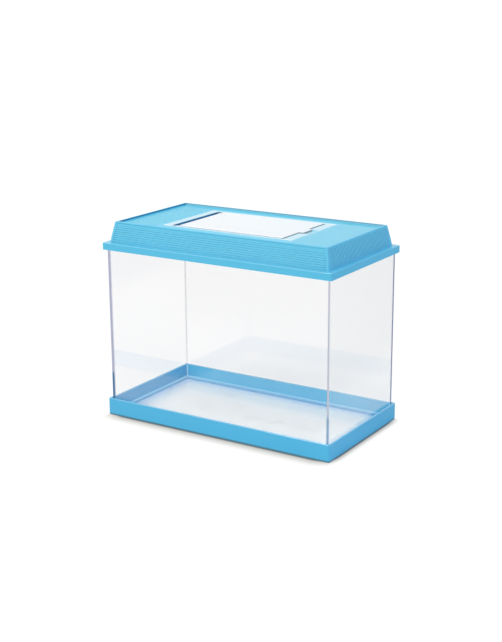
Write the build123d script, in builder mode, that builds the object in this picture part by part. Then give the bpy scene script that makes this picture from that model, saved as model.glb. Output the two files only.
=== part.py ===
from build123d import *
from math import atan2, cos, degrees, radians, tan
import os

# Plastic insect box: a clear tank that stands in an open base frame, under a slotted hood
# with a clear feeding flap. All lengths are in millimetres, X along the box, Z up, and the
# origin is on the floor under the box's middle.

# Tank
tank_length = 292.0
tank_width = 154.0
tank_height = 206.0
tank_wall = 2.2
tank_floor = 1.8
tank_corner = 1.2
tank_draft = 0.12

# Base frame
base_clearance = 1.2
base_wall = 2.4
base_height = 20.4
base_ledge = 3.6
base_ledge_thickness = 1.0
base_corner = 2.0
base_edge = 0.5
base_foot_edge = 0.7

# Lid: the skirt round the tank's rim, the ledge that rests on it and the hood above
lid_clearance = 1.6
skirt_wall = 2.4
skirt_drop = 6.1
ledge_thickness = 2.0
ledge_width = 6.5
lid_corner = 2.0
skirt_edge = 0.5
hood_height = 23.9
hood_slope = 5.0
hood_wall = 2.0
hood_corner = 1.6
hood_edge = 0.6

# Top plate, sunk inside a raised rim
rim_width = 2.2
plate_recess = 2.1
plate_thickness = 2.0

# Vent slots: level ones in the long slopes, upright ones in the short slopes, and ribs behind
# them that hold the bars together
slot_gap = 0.4
level_pitch = 2.36
level_foot = 1.0
level_head = 1.5
upright_pitch = 2.8
upright_foot = 0.8
upright_head = 1.2
upright_backing = 0.5
corner_post = 2.5
groove_depth = 0.8
rib_thickness = 1.6
rib_depth = 2.4
rib_bite = 0.5
long_rib_pitch = 54.0

# Vent slots in the top plate, beside the hatch
plate_slot_margin = 3.0

# Hatch: the smooth border, its opening and the collar that carries the flap
border_length = 170.0
border_width = 102.4
border_rise = 0.2
opening_left = 74.8
opening_right = 72.2
opening_width = 94.0
border_corner = 1.5
collar_wall = 2.6
lip_width = 2.2
channel_floor = 1.0
channel_gap = 0.4

# Feeding flap and its finger tab
flap_thickness = 2.0
flap_rise = 0.6
flap_clearance = 0.5
flap_end_gap = 1.2
flap_seat_gap = 0.1
flap_edge = 0.25
hinge_gap = 8.7
tab_length = 5.0
tab_width = 22.0
tab_corner = 1.5
notch_length = 11.6
notch_ramp = 5.0
notch_clearance = 1.0
notch_room = 0.6
notch_floor = 1.2
notch_wall = 2.0

# Hinge: two round pins, moulded on the flap's arms, in blind holes of the collar
pin_radius = 0.9
pin_clearance = 0.05
pin_cover = 1.0
pin_length = 1.6
pin_end_gap = 0.3
pin_setback = 2.6
arm_radius = 1.3
arm_width = 3.0
arm_drop = 0.8

# Levels and sizes that follow
tank_bottom = base_ledge_thickness
tank_top = tank_bottom + tank_height
ledge_under = tank_top
ledge_top = ledge_under + ledge_thickness
skirt_bottom = ledge_under - skirt_drop
hood_top = ledge_top + hood_height
plate_top = hood_top - plate_recess
plate_under = plate_top - plate_thickness
border_top = plate_top + border_rise

base_inner_length = tank_length + 2 * base_clearance
base_inner_width = tank_width + 2 * base_clearance
base_length = base_inner_length + 2 * base_wall
base_width = base_inner_width + 2 * base_wall

skirt_inner_length = tank_length + 2 * lid_clearance
skirt_inner_width = tank_width + 2 * lid_clearance
lid_length = skirt_inner_length + 2 * skirt_wall
lid_width = skirt_inner_width + 2 * skirt_wall

hood_length = lid_length - 2 * ledge_width
hood_width = lid_width - 2 * ledge_width
hood_taper = degrees(atan2(hood_slope, hood_height))
hood_wall_across = hood_wall / cos(radians(hood_taper))
rim_inner_length = hood_length - 2 * hood_slope - 2 * rim_width
rim_inner_width = hood_width - 2 * hood_slope - 2 * rim_width

flap_top = border_top + flap_rise
flap_under = flap_top - flap_thickness
lip_top = flap_under - flap_seat_gap
flap_left = hinge_gap - opening_left
flap_right = opening_right - flap_end_gap
flap_width = opening_width - 2 * flap_clearance
hinge_x = pin_setback - opening_left
hinge_z = border_top - pin_cover - pin_radius - pin_clearance
channel_level = hinge_z - arm_radius - channel_gap
collar_under = channel_level - channel_floor
hole_depth = pin_length + pin_end_gap
notch_level = flap_under - notch_room
notch_width = tab_width + 2 * notch_clearance
notch_end = opening_right + notch_length
opening_length = opening_left + opening_right
opening_middle = (opening_right - opening_left) / 2


def slope_inset(level):
    """How far the hood's outer face stands inside its foot at this level."""
    return (level - ledge_top) * tan(radians(hood_taper))


def centred(pitch, span):
    """Evenly spaced places about the middle that lie within the span."""
    count = int(span / 2 / pitch)
    return [pitch * i for i in range(-count, count + 1)]


# Tank: an open tub whose walls thin a little towards the rim
with BuildPart() as tank:
    with BuildSketch(Plane.XY.offset(tank_bottom)):
        RectangleRounded(tank_length, tank_width, tank_corner)
    extrude(amount=tank_height)
    with BuildSketch(Plane.XY.offset(tank_top)):
        Rectangle(tank_length - 2 * tank_wall, tank_width - 2 * tank_wall)
    extrude(amount=-(tank_height - tank_floor), taper=tank_draft, mode=Mode.SUBTRACT)
tank.part.label = "tank"

# Base frame: a low wall round the tank's foot, with a thin ledge that the tank stands on
with BuildPart() as base_frame:
    with BuildSketch():
        RectangleRounded(base_length, base_width, base_corner)
    extrude(amount=base_height)
    with BuildSketch(Plane.XY.offset(base_ledge_thickness)):
        Rectangle(base_inner_length, base_inner_width)
    extrude(amount=base_height - base_ledge_thickness, mode=Mode.SUBTRACT)
    with BuildSketch():
        Rectangle(base_inner_length - 2 * base_ledge, base_inner_width - 2 * base_ledge)
    extrude(amount=base_ledge_thickness, mode=Mode.SUBTRACT)
    top_ring = base_frame.faces().sort_by(Axis.Z)[-1]
    chamfer(top_ring.edges(), base_edge)
    foot_ring = base_frame.faces().sort_by(Axis.Z)[0]
    chamfer(foot_ring.outer_wire().edges(), base_foot_edge)
base_frame.part.label = "base_frame"

# Lid
with BuildPart() as lid:
    # Skirt and ledge, then the tapered hood
    with BuildSketch(Plane.XY.offset(skirt_bottom)):
        RectangleRounded(lid_length, lid_width, lid_corner)
    extrude(amount=skirt_drop + ledge_thickness)
    chamfer(lid.faces().sort_by(Axis.Z)[-1].outer_wire().edges(), skirt_edge)
    with BuildSketch(Plane.XY.offset(ledge_top)):
        RectangleRounded(hood_length, hood_width, hood_corner)
    extrude(amount=hood_height, taper=hood_taper)
    chamfer(lid.faces().sort_by(Axis.Z)[-1].outer_wire().edges(), hood_edge)

    # Hollow under the ledge and in the hood, and the sunk top plate
    with BuildSketch(Plane.XY.offset(skirt_bottom)):
        Rectangle(skirt_inner_length, skirt_inner_width)
    extrude(amount=skirt_drop, mode=Mode.SUBTRACT)
    hollow_inset = hood_wall_across + slope_inset(ledge_under)
    with BuildSketch(Plane.XY.offset(ledge_under)):
        Rectangle(hood_length - 2 * hollow_inset, hood_width - 2 * hollow_inset)
    extrude(amount=plate_under - ledge_under, taper=hood_taper, mode=Mode.SUBTRACT)
    with BuildSketch(Plane.XY.offset(hood_top)):
        Rectangle(rim_inner_length, rim_inner_width)
    extrude(amount=-plate_recess, mode=Mode.SUBTRACT)

    # Hatch border above the plate, and the collar and the notch's floor under it
    with BuildSketch(Plane.XY.offset(plate_top)):
        RectangleRounded(border_length, border_width, border_corner)
    extrude(amount=border_rise)
    with BuildSketch(Plane.XY.offset(collar_under)):
        with Locations((opening_middle, 0)):
            Rectangle(opening_length + 2 * collar_wall, opening_width + 2 * collar_wall)
    extrude(amount=plate_under - collar_under)
    notch_middle = opening_right + notch_length / 2
    with BuildSketch(Plane.XY.offset(notch_level - notch_floor)):
        with Locations((notch_middle, 0)):
            Rectangle(notch_length + 2 * notch_wall, notch_width + 2 * notch_wall)
    extrude(amount=plate_under - notch_level + notch_floor)

    # Opening: the flap's seat, the clear way inside the lip that carries it, the deeper
    # channel under the hinge and the notch for a finger
    with BuildSketch(Plane.XY.offset(lip_top)):
        with Locations((opening_middle, 0)):
            Rectangle(opening_length, opening_width)
    extrude(amount=border_top - lip_top, mode=Mode.SUBTRACT)
    clear_left = flap_left + lip_width
    clear_right = opening_right - lip_width
    with BuildSketch(Plane.XY.offset(collar_under)):
        with Locations(((clear_left + clear_right) / 2, 0)):
            Rectangle(clear_right - clear_left, opening_width - 2 * lip_width)
    extrude(amount=border_top - collar_under, mode=Mode.SUBTRACT)
    with BuildSketch(Plane.XY.offset(channel_level)):
        with Locations(((clear_left - opening_left) / 2, 0)):
            Rectangle(clear_left + opening_left, opening_width)
    extrude(amount=border_top - channel_level, mode=Mode.SUBTRACT)
    with BuildSketch(Plane.XZ):
        Polygon(
            (opening_right, border_top),
            (opening_right, notch_level),
            (notch_end - notch_ramp, notch_level),
            (notch_end, border_top),
            align=None,
        )
    extrude(amount=notch_width / 2, both=True, mode=Mode.SUBTRACT)

    # Blind holes for the hinge pins, in the opening's two end walls
    for side in (-1, 1):
        with BuildSketch(Plane.XZ.offset(side * opening_width / 2)):
            with Locations((hinge_x, hinge_z)):
                Circle(pin_radius + pin_clearance)
        extrude(amount=side * hole_depth, mode=Mode.SUBTRACT)

    # Level slots in the long slopes: through the wall where the hood is hollow behind it, and
    # shallow grooves where the top plate backs it
    cutters = []
    slot_rows = int((hood_height - level_foot - level_head) / level_pitch) + 1
    for row in range(slot_rows):
        level = ledge_top + level_foot + level_pitch * row
        inset = slope_inset(level + slot_gap / 2)
        through = level + slot_gap / 2 < plate_under
        depth = 2 * hood_wall_across if through else groove_depth
        long_slot = hood_length - 2 * inset - 2 * corner_post
        with BuildSketch(Plane.XY.offset(level - slot_gap / 2)) as slots:
            with Locations((0, hood_width / 2 - inset), (0, inset - hood_width / 2)):
                Rectangle(long_slot, 2 * depth)
        cutters.append(extrude(slots.sketch, amount=slot_gap, mode=Mode.PRIVATE))

    # Upright slots in the short slopes, with the same grooves above them
    slot_low = ledge_top + upright_foot
    slot_middle = plate_under - upright_backing
    slot_high = hood_top - upright_head
    outside = hood_length / 2 + groove_depth
    with BuildSketch(Plane.XZ) as upright:
        Polygon(
            (outside, slot_low),
            (outside, slot_high),
            (hood_length / 2 - slope_inset(slot_high) - groove_depth, slot_high),
            (hood_length / 2 - slope_inset(slot_middle) - groove_depth, slot_middle),
            (hood_length / 2 - slope_inset(slot_middle) - 2 * hood_wall_across, slot_middle),
            (hood_length / 2 - slope_inset(slot_low) - 2 * hood_wall_across, slot_low),
            align=None,
        )
        mirror(about=Plane.YZ)
    slotted_width = hood_width - 2 * slope_inset(slot_high) - 2 * corner_post
    for y in centred(upright_pitch, slotted_width):
        profile = upright.sketch.moved(Location((0, y, 0)))
        cutters.append(extrude(profile, amount=slot_gap / 2, both=True, mode=Mode.PRIVATE))

    # Vent slots in the top plate, left and right of the hatch
    field_start = border_length / 2 + plate_slot_margin
    field_end = rim_inner_length / 2 - plate_slot_margin
    field_middle = (field_start + field_end) / 2
    plate_slots = centred(upright_pitch, rim_inner_width - 2 * plate_slot_margin)
    with BuildSketch(Plane.XY.offset(plate_under)) as slots:
        with Locations([(side * field_middle, y) for side in (-1, 1) for y in plate_slots]):
            Rectangle(field_end - field_start, slot_gap)
    cutters.append(extrude(slots.sketch, amount=plate_thickness, mode=Mode.PRIVATE))
    add(cutters, mode=Mode.SUBTRACT)

    # Ribs: upright behind the long slopes, level behind the short slopes and one across under
    # each slotted field of the plate
    rib_head_inset = slope_inset(plate_under)
    long_face = hood_width / 2 - hood_wall_across
    with BuildSketch(Plane.YZ) as long_rib:
        Polygon(
            (long_face + rib_bite, ledge_top),
            (long_face + rib_bite - rib_head_inset, plate_under + rib_bite),
            (long_face - rib_depth - rib_head_inset, plate_under + rib_bite),
            (long_face - rib_depth, ledge_top),
            align=None,
        )
        mirror(about=Plane.YZ)
    ribs = [
        extrude(
            long_rib.sketch.moved(Location((x, 0, 0))),
            amount=rib_thickness / 2,
            both=True,
            mode=Mode.PRIVATE,
        )
        for x in centred(long_rib_pitch, hood_length - 4 * corner_post)
    ]
    rib_level = (ledge_top + plate_under) / 2
    rib_inset = slope_inset(rib_level) + hood_wall_across
    with BuildSketch(Plane.XY.offset(rib_level - rib_thickness / 2)) as short_ribs:
        with Locations(
            (hood_length / 2 - rib_inset - (rib_depth - rib_bite) / 2, 0),
            ((rib_depth - rib_bite) / 2 + rib_inset - hood_length / 2, 0),
        ):
            Rectangle(rib_depth + rib_bite, 2 * (hood_width / 2 - rib_inset + rib_bite))
    ribs.append(extrude(short_ribs.sketch, amount=rib_thickness, mode=Mode.PRIVATE))
    with BuildSketch(Plane.XY.offset(plate_under - rib_depth)) as cross_ribs:
        with Locations((-field_middle, 0), (field_middle, 0)):
            Rectangle(rib_thickness, 2 * (long_face - rib_head_inset))
    ribs.append(extrude(cross_ribs.sketch, amount=rib_depth + rib_bite, mode=Mode.PRIVATE))
    add(ribs)
lid.part.label = "lid"

# Feeding flap: a clear panel with a finger tab and two hinge arms
with BuildPart() as feeding_flap:
    panel_length = flap_right - flap_left
    with BuildSketch(Plane.XY.offset(flap_under)):
        with Locations(((flap_left + flap_right) / 2, 0)):
            Rectangle(panel_length, flap_width)
    extrude(amount=flap_thickness)
    with BuildSketch(Plane.XY.offset(flap_under)) as tab:
        with Locations((flap_right + tab_length / 2, 0)):
            Rectangle(tab_length, tab_width)
        outer_corners = tab.vertices().group_by(Axis.X)[-1]
        fillet(outer_corners, tab_corner)
    extrude(amount=flap_thickness)
    top_face = feeding_flap.faces().sort_by(Axis.Z)[-1]
    chamfer(top_face.outer_wire().edges(), flap_edge)
    for side in (-1, 1):
        with BuildSketch(Plane.XZ.offset(side * flap_width / 2)):
            with Locations((hinge_x, hinge_z)):
                Circle(arm_radius)
            Polygon(
                (hinge_x, hinge_z - arm_radius),
                (flap_left, flap_under),
                (flap_left, flap_top - arm_drop),
                (hinge_x, hinge_z + arm_radius),
                align=None,
            )
        extrude(amount=-side * arm_width)
        with BuildSketch(Plane.XZ.offset(side * flap_width / 2)):
            with Locations((hinge_x, hinge_z)):
                Circle(pin_radius)
        extrude(amount=side * (flap_clearance + pin_length))
feeding_flap.part.label = "feeding_flap"

os.makedirs("parts", exist_ok=True)
export_step(tank.part, "parts/tank.step")
export_step(base_frame.part, "parts/base_frame.step")
export_step(lid.part, "parts/lid.step")
export_step(feeding_flap.part, "parts/feeding_flap.step")
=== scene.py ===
import math

import bpy
from mathutils import Matrix, Vector

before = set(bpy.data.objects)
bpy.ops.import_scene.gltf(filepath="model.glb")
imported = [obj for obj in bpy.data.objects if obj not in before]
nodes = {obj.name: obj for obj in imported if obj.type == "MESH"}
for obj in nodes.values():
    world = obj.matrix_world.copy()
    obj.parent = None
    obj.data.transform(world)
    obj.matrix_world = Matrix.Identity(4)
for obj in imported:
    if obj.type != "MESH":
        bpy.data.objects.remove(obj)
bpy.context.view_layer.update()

# Camera: above the lid, off the box's front right corner, with the frame upright. The lens
# and the place come from the box's own edges in the photograph, with no shift.
camera_place = (0.7441, -1.1745, 0.5083)
camera_azimuth = math.radians(32.33)
camera_elevation = math.radians(15.70)
camera_roll = math.radians(-0.365)
camera_lens = 69.81
camera_sensor = 36.0
camera_reach = 100.0


def aim(azimuth, elevation, roll):
    """The camera's axes as a matrix: its back points away from the scene, turned by roll."""
    level = math.cos(elevation)
    back = Vector((math.sin(azimuth) * level, -math.cos(azimuth) * level, math.sin(elevation)))
    right = Vector((0, 0, 1)).cross(back).normalized()
    up = back.cross(right)
    rolled_right = math.cos(roll) * right + math.sin(roll) * up
    rolled_up = math.cos(roll) * up - math.sin(roll) * right
    return Matrix((rolled_right, rolled_up, back)).transposed().to_4x4()


camera_data = bpy.data.cameras.new("camera")
camera_data.lens = camera_lens
camera_data.sensor_width = camera_sensor
camera_data.clip_end = camera_reach
camera = bpy.data.objects.new("camera", camera_data)
turn = aim(camera_azimuth, camera_elevation, camera_roll)
camera.matrix_world = Matrix.Translation(camera_place) @ turn
bpy.context.scene.collection.objects.link(camera)
bpy.context.scene.camera = camera

# Tank: a tub of clear polystyrene, moulded in one piece, with polished walls. The resin has
# a faint violet tint. Painted shade darkens its upright corners and turns bluer at their
# foot, standing in for the frame's blue seen there, and painted violet light glows where
# light runs along a wall to its edge. A painted reflection of the blue walls lies on the
# floor beside them, and the floor is less polished than the walls.
mask_edge = 0.0001
wall_skin = 0.0003
floor_skin = 0.0002
clear_ior = 1.58
clear_roughness = 0.015
scuff_roughness = 0.05
scuff_scale = 38.0
scuff_detail = 6.0
scuff_contrast = 0.7
scuff_start = 0.52
scuff_end = 0.72
ripple_scale = 14.0
ripple_detail = 1.0
ripple_height = 0.00002
tank_tint = (0.99, 0.99, 0.993, 1.0)
tank_clear = 1.0
tank_half_length = 0.146
tank_half_width = 0.077
tank_inner_length = 0.1433
tank_inner_width = 0.0743
tank_floor_top = 0.0028
tank_floor_blur = 0.2
# Painted reflection of the blue walls on the tank's floor beside them.
floor_edge_reflection = (0.38, 0.61, 0.88, 1.0)
floor_edge_width = 0.024
# Painted shade in a strip beside the front left corner.
strip_shade = (0.50, 0.52, 0.64, 1.0)
strip_width = 0.0015
corner_width = 0.0026
corner_foot_top = 0.051
corner_foot_fade = 0.004
piped_bounces = 1.5
# Painted highlight along the walls' foot and up their inner corners, and a glowing painted
# reflection of the blue walls under it.
foot_highlight = (0.42, 0.76, 1.0, 1.0)
foot_line_low = 0.0052
foot_line_height = 0.0008
foot_line_share = 0.9
foot_reflection = (0.30, 0.58, 0.80, 1.0)
foot_reflection_share = 0.6
corner_line_width = 0.0005
corner_line_top = 0.0204

# Painted shade in the upright corners, and the painted light caught in them, higher up and
# at the foot. Each set goes front left, front right, back left, back right.
corner_shade = (
    (0.86, 0.865, 0.91, 1.0),
    (0.93, 0.93, 0.95, 1.0),
    (0.60, 0.61, 0.64, 1.0),
    (0.30, 0.33, 0.48, 1.0),
)
corner_foot_shade = (
    (0.24, 0.42, 0.62, 1.0),
    (0.50, 0.63, 0.76, 1.0),
    (0.66, 0.68, 0.72, 1.0),
    (0.25, 0.31, 0.50, 1.0),
)
piped = (
    (0.50, 0.515, 0.645, 1.0),
    (0.55, 0.58, 0.66, 1.0),
    (0.42, 0.43, 0.47, 1.0),
    (0.28, 0.30, 0.45, 1.0),
)
piped_foot = (
    (0.10, 0.24, 0.42, 1.0),
    (0.34, 0.48, 0.64, 1.0),
    (0.48, 0.52, 0.58, 1.0),
    (0.22, 0.30, 0.48, 1.0),
)


class Wire:
    """One output of a shader node. Arithmetic on it adds the Math nodes that it needs."""

    def __init__(self, finish, socket):
        self.finish = finish
        self.socket = socket

    def maths(self, operation, *values, clamp=False):
        """The result of a Math node on this value and the others."""
        inputs = dict(enumerate((self, *values)))
        return self.finish.node("ShaderNodeMath", inputs, operation=operation, use_clamp=clamp)

    def __add__(self, other):
        return self.maths("ADD", other)

    __radd__ = __add__

    def __sub__(self, other):
        return self.maths("SUBTRACT", other)

    def __rsub__(self, other):
        return -self + other

    def __mul__(self, other):
        return self.maths("MULTIPLY", other)

    __rmul__ = __mul__

    def __neg__(self):
        return self * -1.0

    def __abs__(self):
        return self.maths("ABSOLUTE")

    def larger(self, other):
        """The larger of this and the other. Of two masks, it is where either is 1."""
        return self.maths("MAXIMUM", other)

    def smaller(self, other):
        """The smaller of this and the other."""
        return self.maths("MINIMUM", other)

    def part_of(self, whole):
        """This as a share of the whole, held between 0 and 1."""
        return self.maths("DIVIDE", whole, clamp=True)

    def step(self, start, end):
        """0 before start, 1 after end and smooth between them."""
        sockets = {0: self, 1: start, 2: end}
        return self.finish.node("ShaderNodeMapRange", sockets, interpolation_type="SMOOTHSTEP")

    def past(self, limit):
        """1 past the limit and 0 short of it, with a hair's breadth between."""
        return self.step(limit - mask_edge, limit)

    def before(self, limit):
        """1 short of the limit and 0 past it."""
        return 1.0 - self.past(limit)

    def between(self, low, high):
        """1 from low to high and 0 on either side."""
        return self.past(low) * self.before(high + mask_edge)

    def blend(self, first, second):
        """A colour that goes from the first to the second as this goes from 0 to 1."""
        sockets = {0: self, 6: first, 7: second}
        return self.finish.node("ShaderNodeMix", sockets, out=2, data_type="RGBA")

    def bump(self, distance):
        """A normal from this height between 0 and 1, which stands for this many metres."""
        return self.finish.node("ShaderNodeBump", {"Height": self, "Distance": distance})


class Finish:
    """A material, or the room's light, and the means to add nodes to it."""

    def __init__(self, owner, output="ShaderNodeOutputMaterial"):
        self.owner = owner
        self.output = output
        owner.use_nodes = True
        self.tree = owner.node_tree
        self.tree.nodes.clear()

    def node(self, kind, sockets=None, out=0, **settings):
        """Adds a node, sets it up, fills or links its sockets and returns one output."""
        made = self.tree.nodes.new(kind)
        for name, value in settings.items():
            setattr(made, name, value)
        for name, value in (sockets or {}).items():
            if isinstance(value, Wire):
                self.tree.links.new(value.socket, made.inputs[name])
            else:
                made.inputs[name].default_value = value
        return Wire(self, made.outputs[out])

    def axis(self, point, name):
        """One of a vector's three parts."""
        return self.node("ShaderNodeSeparateXYZ", {"Vector": point}, out=name)

    def place(self):
        """The point being shaded, in the object's own metres: its vector, x, y and z."""
        point = self.node("ShaderNodeTexCoord", out="Object")
        return point, *[self.axis(point, name) for name in "XYZ"]

    def ray(self, kind):
        """What is known of the ray that meets the surface."""
        return self.node("ShaderNodeLightPath", out=kind)

    def noise(self, point, scale, detail=2.0, contrast=0.5):
        """A soft random pattern from 0 to 1, with this many bumps in a metre."""
        sockets = {"Vector": point, "Scale": scale, "Detail": detail, "Roughness": contrast}
        return self.node("ShaderNodeTexNoise", sockets)

    def mix(self, share, first, second):
        """A surface that goes from the first to the second as the share goes from 0 to 1."""
        return self.node("ShaderNodeMixShader", {0: share, 1: first, 2: second})

    def show(self, surface):
        """Sends the surface to the output, and returns what it belongs to."""
        made = self.tree.nodes.new(self.output)
        self.tree.links.new(surface.socket, made.inputs["Surface"])
        return self.owner


def dress(node, material):
    """Gives a CAD node its material, in every slot."""
    slots = nodes[node].data.materials
    if not slots:
        slots.append(material)
    for i in range(len(slots)):
        slots[i] = material


def clear_plastic(name, tint, tint_and_shade, clear, coat=0.0, blur=None, glow=None):
    """Clear resin with faint scuffs and mould ripples. Lamps and soft light pass it straight, and
    the eye sees it bend what is behind. Its colour, painted shade included, comes from the
    place through the third argument; blur gives what its height adds to the roughness, and
    glow the share and colour of the painted light it gives out."""
    finish = Finish(bpy.data.materials.new(name))
    point, x, y, z = finish.place()
    scuffs = finish.noise(point, scuff_scale, scuff_detail, scuff_contrast)
    roughness = scuffs.step(scuff_start, scuff_end) * scuff_roughness + clear_roughness
    if blur:
        roughness += blur(z)
    sockets = {
        "Base Color": tint_and_shade(x, y, z),
        "Roughness": roughness,
        "IOR": clear_ior,
        "Transmission Weight": clear,
        "Coat Weight": coat,
        "Normal": finish.noise(point, ripple_scale, ripple_detail).bump(ripple_height),
    }
    surface = finish.node("ShaderNodeBsdfPrincipled", sockets)
    if glow:
        share, colour = glow(x, y, z)
        surface = finish.mix(share, surface, finish.node("ShaderNodeEmission", {"Color": colour}))
    through = finish.node("ShaderNodeBsdfTransparent", {"Color": tint})
    passing = finish.ray("Is Shadow Ray").larger(finish.ray("Is Diffuse Ray"))
    return finish.show(finish.mix(passing, surface, through))


def by_corner(x, y, z, colours, foot_colours):
    """The colour of the quarter that the point is in, higher up and at the foot."""
    right = x.past(0.0)
    behind = y.past(0.0)
    low = 1.0 - z.step(corner_foot_top - corner_foot_fade, corner_foot_top)
    shades = []
    for front_left, front_right, back_left, back_right in (colours, foot_colours):
        front = right.blend(front_left, front_right)
        shades.append(behind.blend(front, right.blend(back_left, back_right)))
    return low.blend(*shades)


def tank_tint_and_shade(x, y, z):
    """The tint, with painted shade in the four upright corners that turns bluer at their feet,
    and a strip of it beside the front left corner. A painted reflection of the blue walls
    lies on the floor near them."""
    corner_length = tank_half_length - corner_width
    corner = abs(x).past(corner_length) * abs(y).past(tank_half_width - corner_width)
    strip = (-x).between(corner_length - strip_width, corner_length)
    strip = strip * (-y).past(tank_inner_width)
    from_wall = (tank_inner_length - abs(x)).smaller(tank_inner_width - abs(y))
    by_wall = 1.0 - from_wall.part_of(floor_edge_width)
    on_floor = z.before(tank_floor_top + floor_skin)
    colour = (by_wall * by_wall * on_floor).blend(tank_tint, floor_edge_reflection)
    colour = strip.blend(colour, strip_shade)
    return corner.blend(colour, by_corner(x, y, z, corner_shade, corner_foot_shade))


def tank_blur(z):
    """More roughness on both faces of the tank's floor."""
    return z.before(tank_floor_top + mask_edge) * tank_floor_blur


def tank_glow(x, y, z):
    """Painted light: light caught in the walls glows, a painted highlight runs along their foot
    and up their inner corners, and a painted reflection of the blue walls glows under that line."""
    caught = x.finish.ray("Glossy Depth").maths("GREATER_THAN", piped_bounces)
    caught = caught * z.past(tank_floor_top + floor_skin)
    end_x = tank_inner_length + wall_skin
    end_y = tank_inner_width + wall_skin
    on_wall = abs(x).between(tank_inner_length, end_x)
    on_wall = on_wall.larger(abs(y).between(tank_inner_width, end_y))
    in_corner = abs(x).between(tank_inner_length - corner_line_width, end_x)
    in_corner = in_corner * abs(y).between(tank_inner_width - corner_line_width, end_y)
    reflected = z.between(tank_floor_top, foot_line_low) * on_wall
    line = z.between(foot_line_low, foot_line_low + foot_line_height) * on_wall
    line = line.larger(z.between(foot_line_low, corner_line_top) * in_corner)
    share = caught.larger(line * foot_line_share).larger(reflected * foot_reflection_share)
    colour = reflected.blend(by_corner(x, y, z, piped, piped_foot), foot_reflection)
    return share, line.blend(colour, foot_highlight)


tank_material = clear_plastic(
    "tank_polystyrene", tank_tint, tank_tint_and_shade, tank_clear, blur=tank_blur, glow=tank_glow
)
dress("tank", tank_material)

# Base frame: a low skirting of blue polypropylene round the tank's foot, moulded in one
# piece with a satin face.
plastic_roughness = 0.36
plastic_ior = 1.49
polished_roughness = 0.08
coat_roughness = 0.06
coat_ior = 1.92
grain_scale = 1500.0
grain_height = 0.00003
flow_scale = 9.0
flow_detail = 3.0
flow_contrast = 0.6
flow_shade = 0.05
flow_sheen = 0.1
base_blue = (0.075, 0.475, 0.735)
# Painted light on the frame's inner faces and ledge, and painted shade in the bevel at its foot.
frame_inner_light = (0.0, 0.49, 0.85, 1.0)
frame_inner_length = 0.1473
frame_inner_width = 0.0783
frame_long_light = (0.06, 0.65, 1.0, 1.0)
frame_long_face = 0.0765
frame_foot_shade = (0.07, 0.22, 0.30, 1.0)
frame_foot_low = 0.001
frame_foot_high = 0.003
frame_edge_low = 0.0198
frame_edge_high = 0.0206


def blue_plastic(name, colour, shade, polish):
    """Moulded satin plastic: a fine spark grain, and slow flow marks that change the colour
    and the sheen a little. shade makes each place's colour from the plain one, and polish
    makes two masks, of where it is bare gloss and of how much coat it has."""
    finish = Finish(bpy.data.materials.new(name))
    point, x, y, z = finish.place()
    flow = finish.noise(point, flow_scale, flow_detail, flow_contrast)
    dark = (*[part * (1 - flow_shade) for part in colour], 1.0)
    light = (*[part * (1 + flow_shade) for part in colour], 1.0)
    gloss, coat = polish(x, y, z)
    matt = 1.0 - gloss
    sheen = (flow - 0.5) * flow_sheen + plastic_roughness
    sockets = {
        "Base Color": shade(x, y, z, flow.blend(dark, light)),
        "Roughness": sheen * matt + gloss * polished_roughness,
        "IOR": plastic_ior,
        "Coat Weight": coat,
        "Coat Roughness": coat_roughness,
        "Coat IOR": coat_ior,
        "Normal": (finish.noise(point, grain_scale) * matt).bump(grain_height),
    }
    return finish.show(finish.node("ShaderNodeBsdfPrincipled", sockets))


def frame_shade(x, y, z, colour):
    """Painted light on the inner faces and the ledge, a clearer blue that is clearest on the long
    sides, and painted shade, a deep blue, in the bevel at the frame's foot."""
    inside = abs(x).before(frame_inner_length) * abs(y).before(frame_inner_width)
    inner = abs(y).past(frame_long_face).blend(frame_inner_light, frame_long_light)
    foot = 1.0 - z.step(frame_foot_low, frame_foot_high)
    return inside.blend(foot.blend(colour, frame_foot_shade), inner)


def frame_polish(x, y, z):
    """No bare gloss, and a coat on the bevels of the frame's top."""
    return 0.0, z.between(frame_edge_low, frame_edge_high)


dress("base_frame", blue_plastic("base_plastic", base_blue, frame_shade, frame_polish))

# Lid: a blue hood over the tank's rim, one moulding with slotted slopes and top. Its face is
# satin with a light sheen on the flats, and only the border round the hatch is polished.
lid_blue = (0.12, 0.55, 0.76)
# Painted shade on the skirt's face below the ledge.
skirt_shade = (0.095, 0.525, 0.755, 1.0)
ledge_low = 0.2084
ledge_high = 0.20895
ledge_coat = 1.0
slope_foot = 0.209
slope_foot_length = 0.1435
slope_foot_width = 0.0745
slope_lean = 0.2092
# Painted shade in the slots of the short slopes, and painted light in those of the long ones.
slot_shade = (0.01, 0.13, 0.32, 1.0)
slot_light = (0.42, 0.90, 1.0, 1.0)
slot_reach_x = 0.1358
slot_reach_y = 0.0668
slot_skin = 0.00015
slot_depth = 0.002
# Painted light on the plate.
plate_light = (0.095, 0.60, 0.79, 1.0)
plate_low = 0.2307
plate_high = 0.2312
plate_coat_left = 0.04
plate_coat_right = 0.24
plate_coat_end = 0.12
rim_inner_length = 0.1362
rim_inner_width = 0.0672
rim_top = 0.2328
# Painted light low on the inner faces of the rim's long sides, and painted shade high on them.
rim_light = (0.50, 0.66, 0.68, 1.0)
rim_shade = (0.07, 0.34, 0.48, 1.0)
# Painted light on the border round the hatch, paler still on its front and back strips and in the
# notch.
border_light = (0.16, 0.62, 0.80, 1.0)
border_half_length = 0.085
border_half_width = 0.0512
border_level = 0.23098
border_side_light = (0.52, 0.84, 0.94, 1.0)
border_side_edge = 0.0468
notch_left = 0.0724
notch_half_width = 0.0121
notch_floor = 0.2289
# Painted shade in the channel under the hinge and on the inner faces of the rim's short sides.
recess_shade = (0.055, 0.24, 0.42, 1.0)
channel_left = -0.0749
channel_right = -0.0655
channel_low = 0.2272
channel_high = 0.23095


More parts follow.
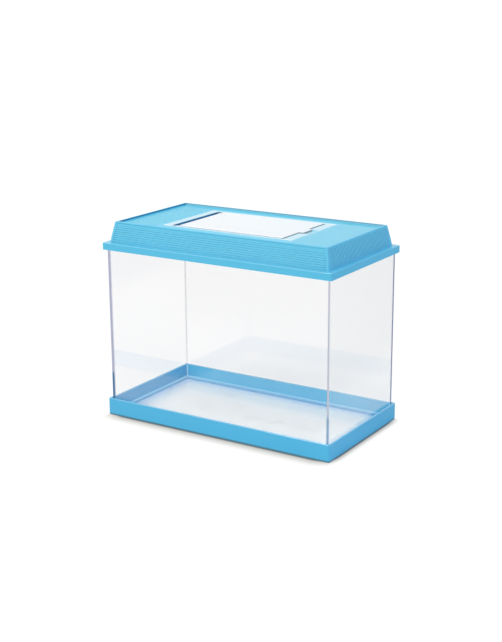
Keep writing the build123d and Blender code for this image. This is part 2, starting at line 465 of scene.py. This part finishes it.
def border_top(x, y, z):
    """1 on the flat of the border round the hatch."""
    along = abs(x).before(border_half_length + mask_edge)
    across = abs(y).before(border_half_width + mask_edge)
    return along * across * z.past(border_level)


def notch_inside(x, y, z):
    """1 in the notch for a fingertip beside the flap's tab."""
    along = x.between(notch_left, border_half_length)
    across = abs(y).before(notch_half_width)
    return along * across * z.between(notch_floor, border_level)


def lid_shade(x, y, z, colour):
    """Painted shade, a deep blue, in the channel under the hinge and on the inner faces of the
    rim's two short sides. The inner faces of its long sides go from painted light at the
    plate to painted shade at the top. The slots carry painted shade in the short slopes and
    painted light in the long ones. The skirt's face below the ledge carries painted shade;
    the plate, the border and, paler still, the border's front and back strips and the notch
    carry painted light."""
    lean = (z - slope_foot) * slope_lean
    on_slope = z.between(slope_foot, plate_low)
    short = (abs(x) + lean - slope_foot_length).between(-slot_depth, -slot_skin)
    short = short * on_slope * abs(y).before(slot_reach_y)
    long = (abs(y) + lean - slope_foot_width).between(-slot_depth, -slot_skin)
    long = long * on_slope * abs(x).before(slot_reach_x)
    colour = long.blend(short.blend(colour, slot_shade), slot_light)
    colour = z.past(ledge_low).blend(skirt_shade, colour)
    colour = z.between(plate_low, plate_high).blend(colour, plate_light)
    rim = z.between(plate_high, rim_top)
    long_side = abs(y).between(rim_inner_width, rim_inner_width + wall_skin) * rim
    colour = long_side.blend(colour, z.step(plate_high, rim_top).blend(rim_light, rim_shade))
    border = border_top(x, y, z)
    colour = border.blend(colour, border_light)
    side = (border * abs(y).past(border_side_edge)).larger(notch_inside(x, y, z))
    colour = side.blend(colour, border_side_light)
    channel = x.between(channel_left, channel_right) * z.between(channel_low, channel_high)
    channel = channel * abs(y).before(border_half_width)
    short_side = abs(x).between(rim_inner_length, rim_inner_length + wall_skin) * rim
    return (channel + short_side).blend(colour, recess_shade)


def lid_polish(x, y, z):
    """The border round the hatch and its notch as bare gloss, and the coat of each flat."""
    gloss = border_top(x, y, z).larger(notch_inside(x, y, z))
    coat = x.step(-plate_coat_end, plate_coat_end) * (plate_coat_right - plate_coat_left)
    plate = z.between(plate_low, plate_high) * (coat + plate_coat_left)
    ledge = z.between(ledge_low, ledge_high) * ledge_coat * abs(y).past(slope_foot_width)
    return gloss, gloss.larger(plate + ledge)


dress("lid", blue_plastic("lid_plastic", lid_blue, lid_shade, lid_polish))

# Feeding flap: a clear panel, flush in the hatch, moulded with its tab and hinge pins. It
# is milky beside the tank. Painted shade greys it towards the right and darkens its rim,
# most on the right side and round the tab.
flap_tint = (0.985, 0.99, 0.985, 1.0)
# Painted shade greying the panel towards the right.
flap_shade_right = (0.91, 0.95, 0.97, 1.0)
flap_clear = 0.55
flap_coat = 1.0
flap_left = -0.0661
flap_right = 0.071
flap_half_width = 0.0465
# Painted shade along the flap's rim: light grey front and back, dark on the right and the tab.
flap_rim_front_shade = (0.78, 0.83, 0.88, 1.0)
flap_rim_right_shade = (0.17, 0.19, 0.22, 1.0)
flap_rim_width = 0.0004
tab_right = 0.076
tab_half_width = 0.011


def flap_tint_and_shade(x, y, z):
    """The tint, greyed towards the right by painted shade, and painted shade along the panel's
    and the tab's edges.
    """
    front = abs(y).past(flap_half_width - flap_rim_width) * x.past(flap_left)
    right = x.between(flap_right - flap_rim_width, flap_right) * abs(y).past(tab_half_width)
    tab_side = abs(y).past(tab_half_width - flap_rim_width) * x.past(flap_right)
    tab_end = x.past(tab_right - flap_rim_width)
    colour = x.step(flap_left, flap_right).blend(flap_tint, flap_shade_right)
    colour = front.blend(colour, flap_rim_front_shade)
    return right.larger(tab_side).larger(tab_end).blend(colour, flap_rim_right_shade)


flap_material = clear_plastic(
    "flap_polystyrene", flap_tint, flap_tint_and_shade, flap_clear, coat=flap_coat
)
dress("feeding_flap", flap_material)

# Floor and light: a white sweep under a broad soft lamp from the front left, with an even
# pale room round it, bluer on the right and in what polished faces mirror at the back right.
floor_size = 60.0
floor_colour = (0.863, 0.81, 0.763, 1.0)
floor_white = 1.03
# Painted shadow on the floor at the box's foot, darkest at the contact.
floor_shadow = (0.64, 0.535, 0.43, 1.0)
contact_shadow = (0.12, 0.13, 0.14, 1.0)
contact_end = 0.0034
box_half_length = 0.1496
box_half_width = 0.0806
shadow_round = 0.022
shadow_stretch_front = 1.0
shadow_stretch_right = 2.1
shadow_stretch_left = 10.0
shadow_stretch_back = 10.0
shadow_start = -0.006
shadow_end = 0.022
glossy_front = (0.42, 0.4, 0.385, 1.0)
glossy_front_start = -0.3
glossy_front_end = -0.08
glossy_right = (0.5, 0.5, 0.5, 1.0)
glossy_right_start = 0.19
glossy_right_end = 0.3
glow_beyond = (0.21, 0.215, 0.21, 1.0)
glow_near_walls = (0.57, 0.63, 0.65, 1.0)
glow_under = (0.285, 0.32, 0.31, 1.0)
glow_fade = 0.075
room_light = 0.86
room_through = 1.06
room_white = (1.0, 1.0, 1.0, 1.0)
room_right = (0.58, 0.90, 1.28, 1.0)
room_back_right = (0.0, 0.35, 1.2, 1.0)
lamp_place = (-0.7, -1.7, 2.4)
lamp_size = 1.8
lamp_power = 26.0


def stretched(outside, stretch):
    """How far a point is past the shadow's core, with what lies outside the box stretched."""
    inside = (outside + shadow_round).larger(0.0).smaller(shadow_round)
    return inside + outside.larger(0.0) * stretch


def pale_floor():
    """A matt floor. The eye sees it white away from the box, with a painted shadow at the box's
    foot; polished faces see it dimmer, and it glows faintly for what shows through."""
    finish = Finish(bpy.data.materials.new("floor_paper"))
    x, y = finish.place()[1:3]
    seen = finish.ray("Is Camera Ray")
    mirrored = finish.ray("Is Glossy Ray")
    bent = finish.ray("Is Transmission Ray")
    right = stretched(x - box_half_length, shadow_stretch_right)
    left = stretched(-x - box_half_length, shadow_stretch_left)
    back = stretched(y - box_half_width, shadow_stretch_back)
    front = stretched(-y - box_half_width, shadow_stretch_front)
    along = right.larger(left)
    across = front.larger(back)
    away = (along * along + across * across).maths("SQRT") - shadow_round
    near = away.step(0.0, contact_end).blend(contact_shadow, floor_shadow)
    ahead = 1.0 - y.step(glossy_front_start, glossy_front_end)
    beside = x.step(glossy_right_start, glossy_right_end)
    colour = (mirrored * ahead).blend(floor_colour, glossy_front)
    colour = (mirrored * beside).blend(colour, glossy_right)
    matt = finish.node("ShaderNodeBsdfDiffuse", {"Color": seen.blend(colour, near)})
    within = (box_half_length - abs(x)).smaller(box_half_width - abs(y))
    light = within.part_of(glow_fade).blend(glow_near_walls, glow_under)
    light = within.past(0.0).blend(glow_beyond, light)
    glow = finish.node("ShaderNodeEmission", {"Color": light, "Strength": bent})
    lit = finish.node("ShaderNodeAddShader", {0: matt, 1: glow})
    white = finish.node("ShaderNodeEmission", {"Strength": floor_white})
    return finish.show(finish.mix(seen * away.step(shadow_start, shadow_end), lit, white))


half = floor_size / 2
corners = [(-half, -half, 0), (half, -half, 0), (half, half, 0), (-half, half, 0)]
floor_mesh = bpy.data.meshes.new("floor")
floor_mesh.from_pydata(corners, [], [(0, 1, 2, 3)])
floor_mesh.materials.append(pale_floor())
floor = bpy.data.objects.new("floor", floor_mesh)
bpy.context.scene.collection.objects.link(floor)

room = Finish(bpy.data.worlds.new("room"), "ShaderNodeOutputWorld")
seen = room.ray("Is Camera Ray")
mirrored = room.ray("Is Glossy Ray")
bent = room.ray("Is Transmission Ray")
direction = room.node("ShaderNodeTexCoord", out="Generated")
to_right = room.axis(direction, "X").larger(0.0)
to_back = room.axis(direction, "Y").larger(0.0)
tone = (to_right * room.ray("Is Diffuse Ray")).blend(room_white, room_right)
tone = (to_right * to_back * mirrored).blend(tone, room_back_right)
level = seen.larger(mirrored) * (1.0 - room_light) + room_light
level = level * (1.0 - bent) + bent * room_through
surface = room.node("ShaderNodeBackground", {"Color": tone, "Strength": level})
bpy.context.scene.world = room.show(surface)

lamp_data = bpy.data.lights.new("softbox", "AREA")
lamp_data.size = lamp_size
lamp_data.energy = lamp_power
lamp = bpy.data.objects.new("softbox", lamp_data)
lamp.location = lamp_place
lamp.rotation_euler = (-Vector(lamp_place)).to_track_quat("-Z", "Y").to_euler()
bpy.context.scene.collection.objects.link(lamp)

bpy.context.scene.view_settings.view_transform = "Standard"
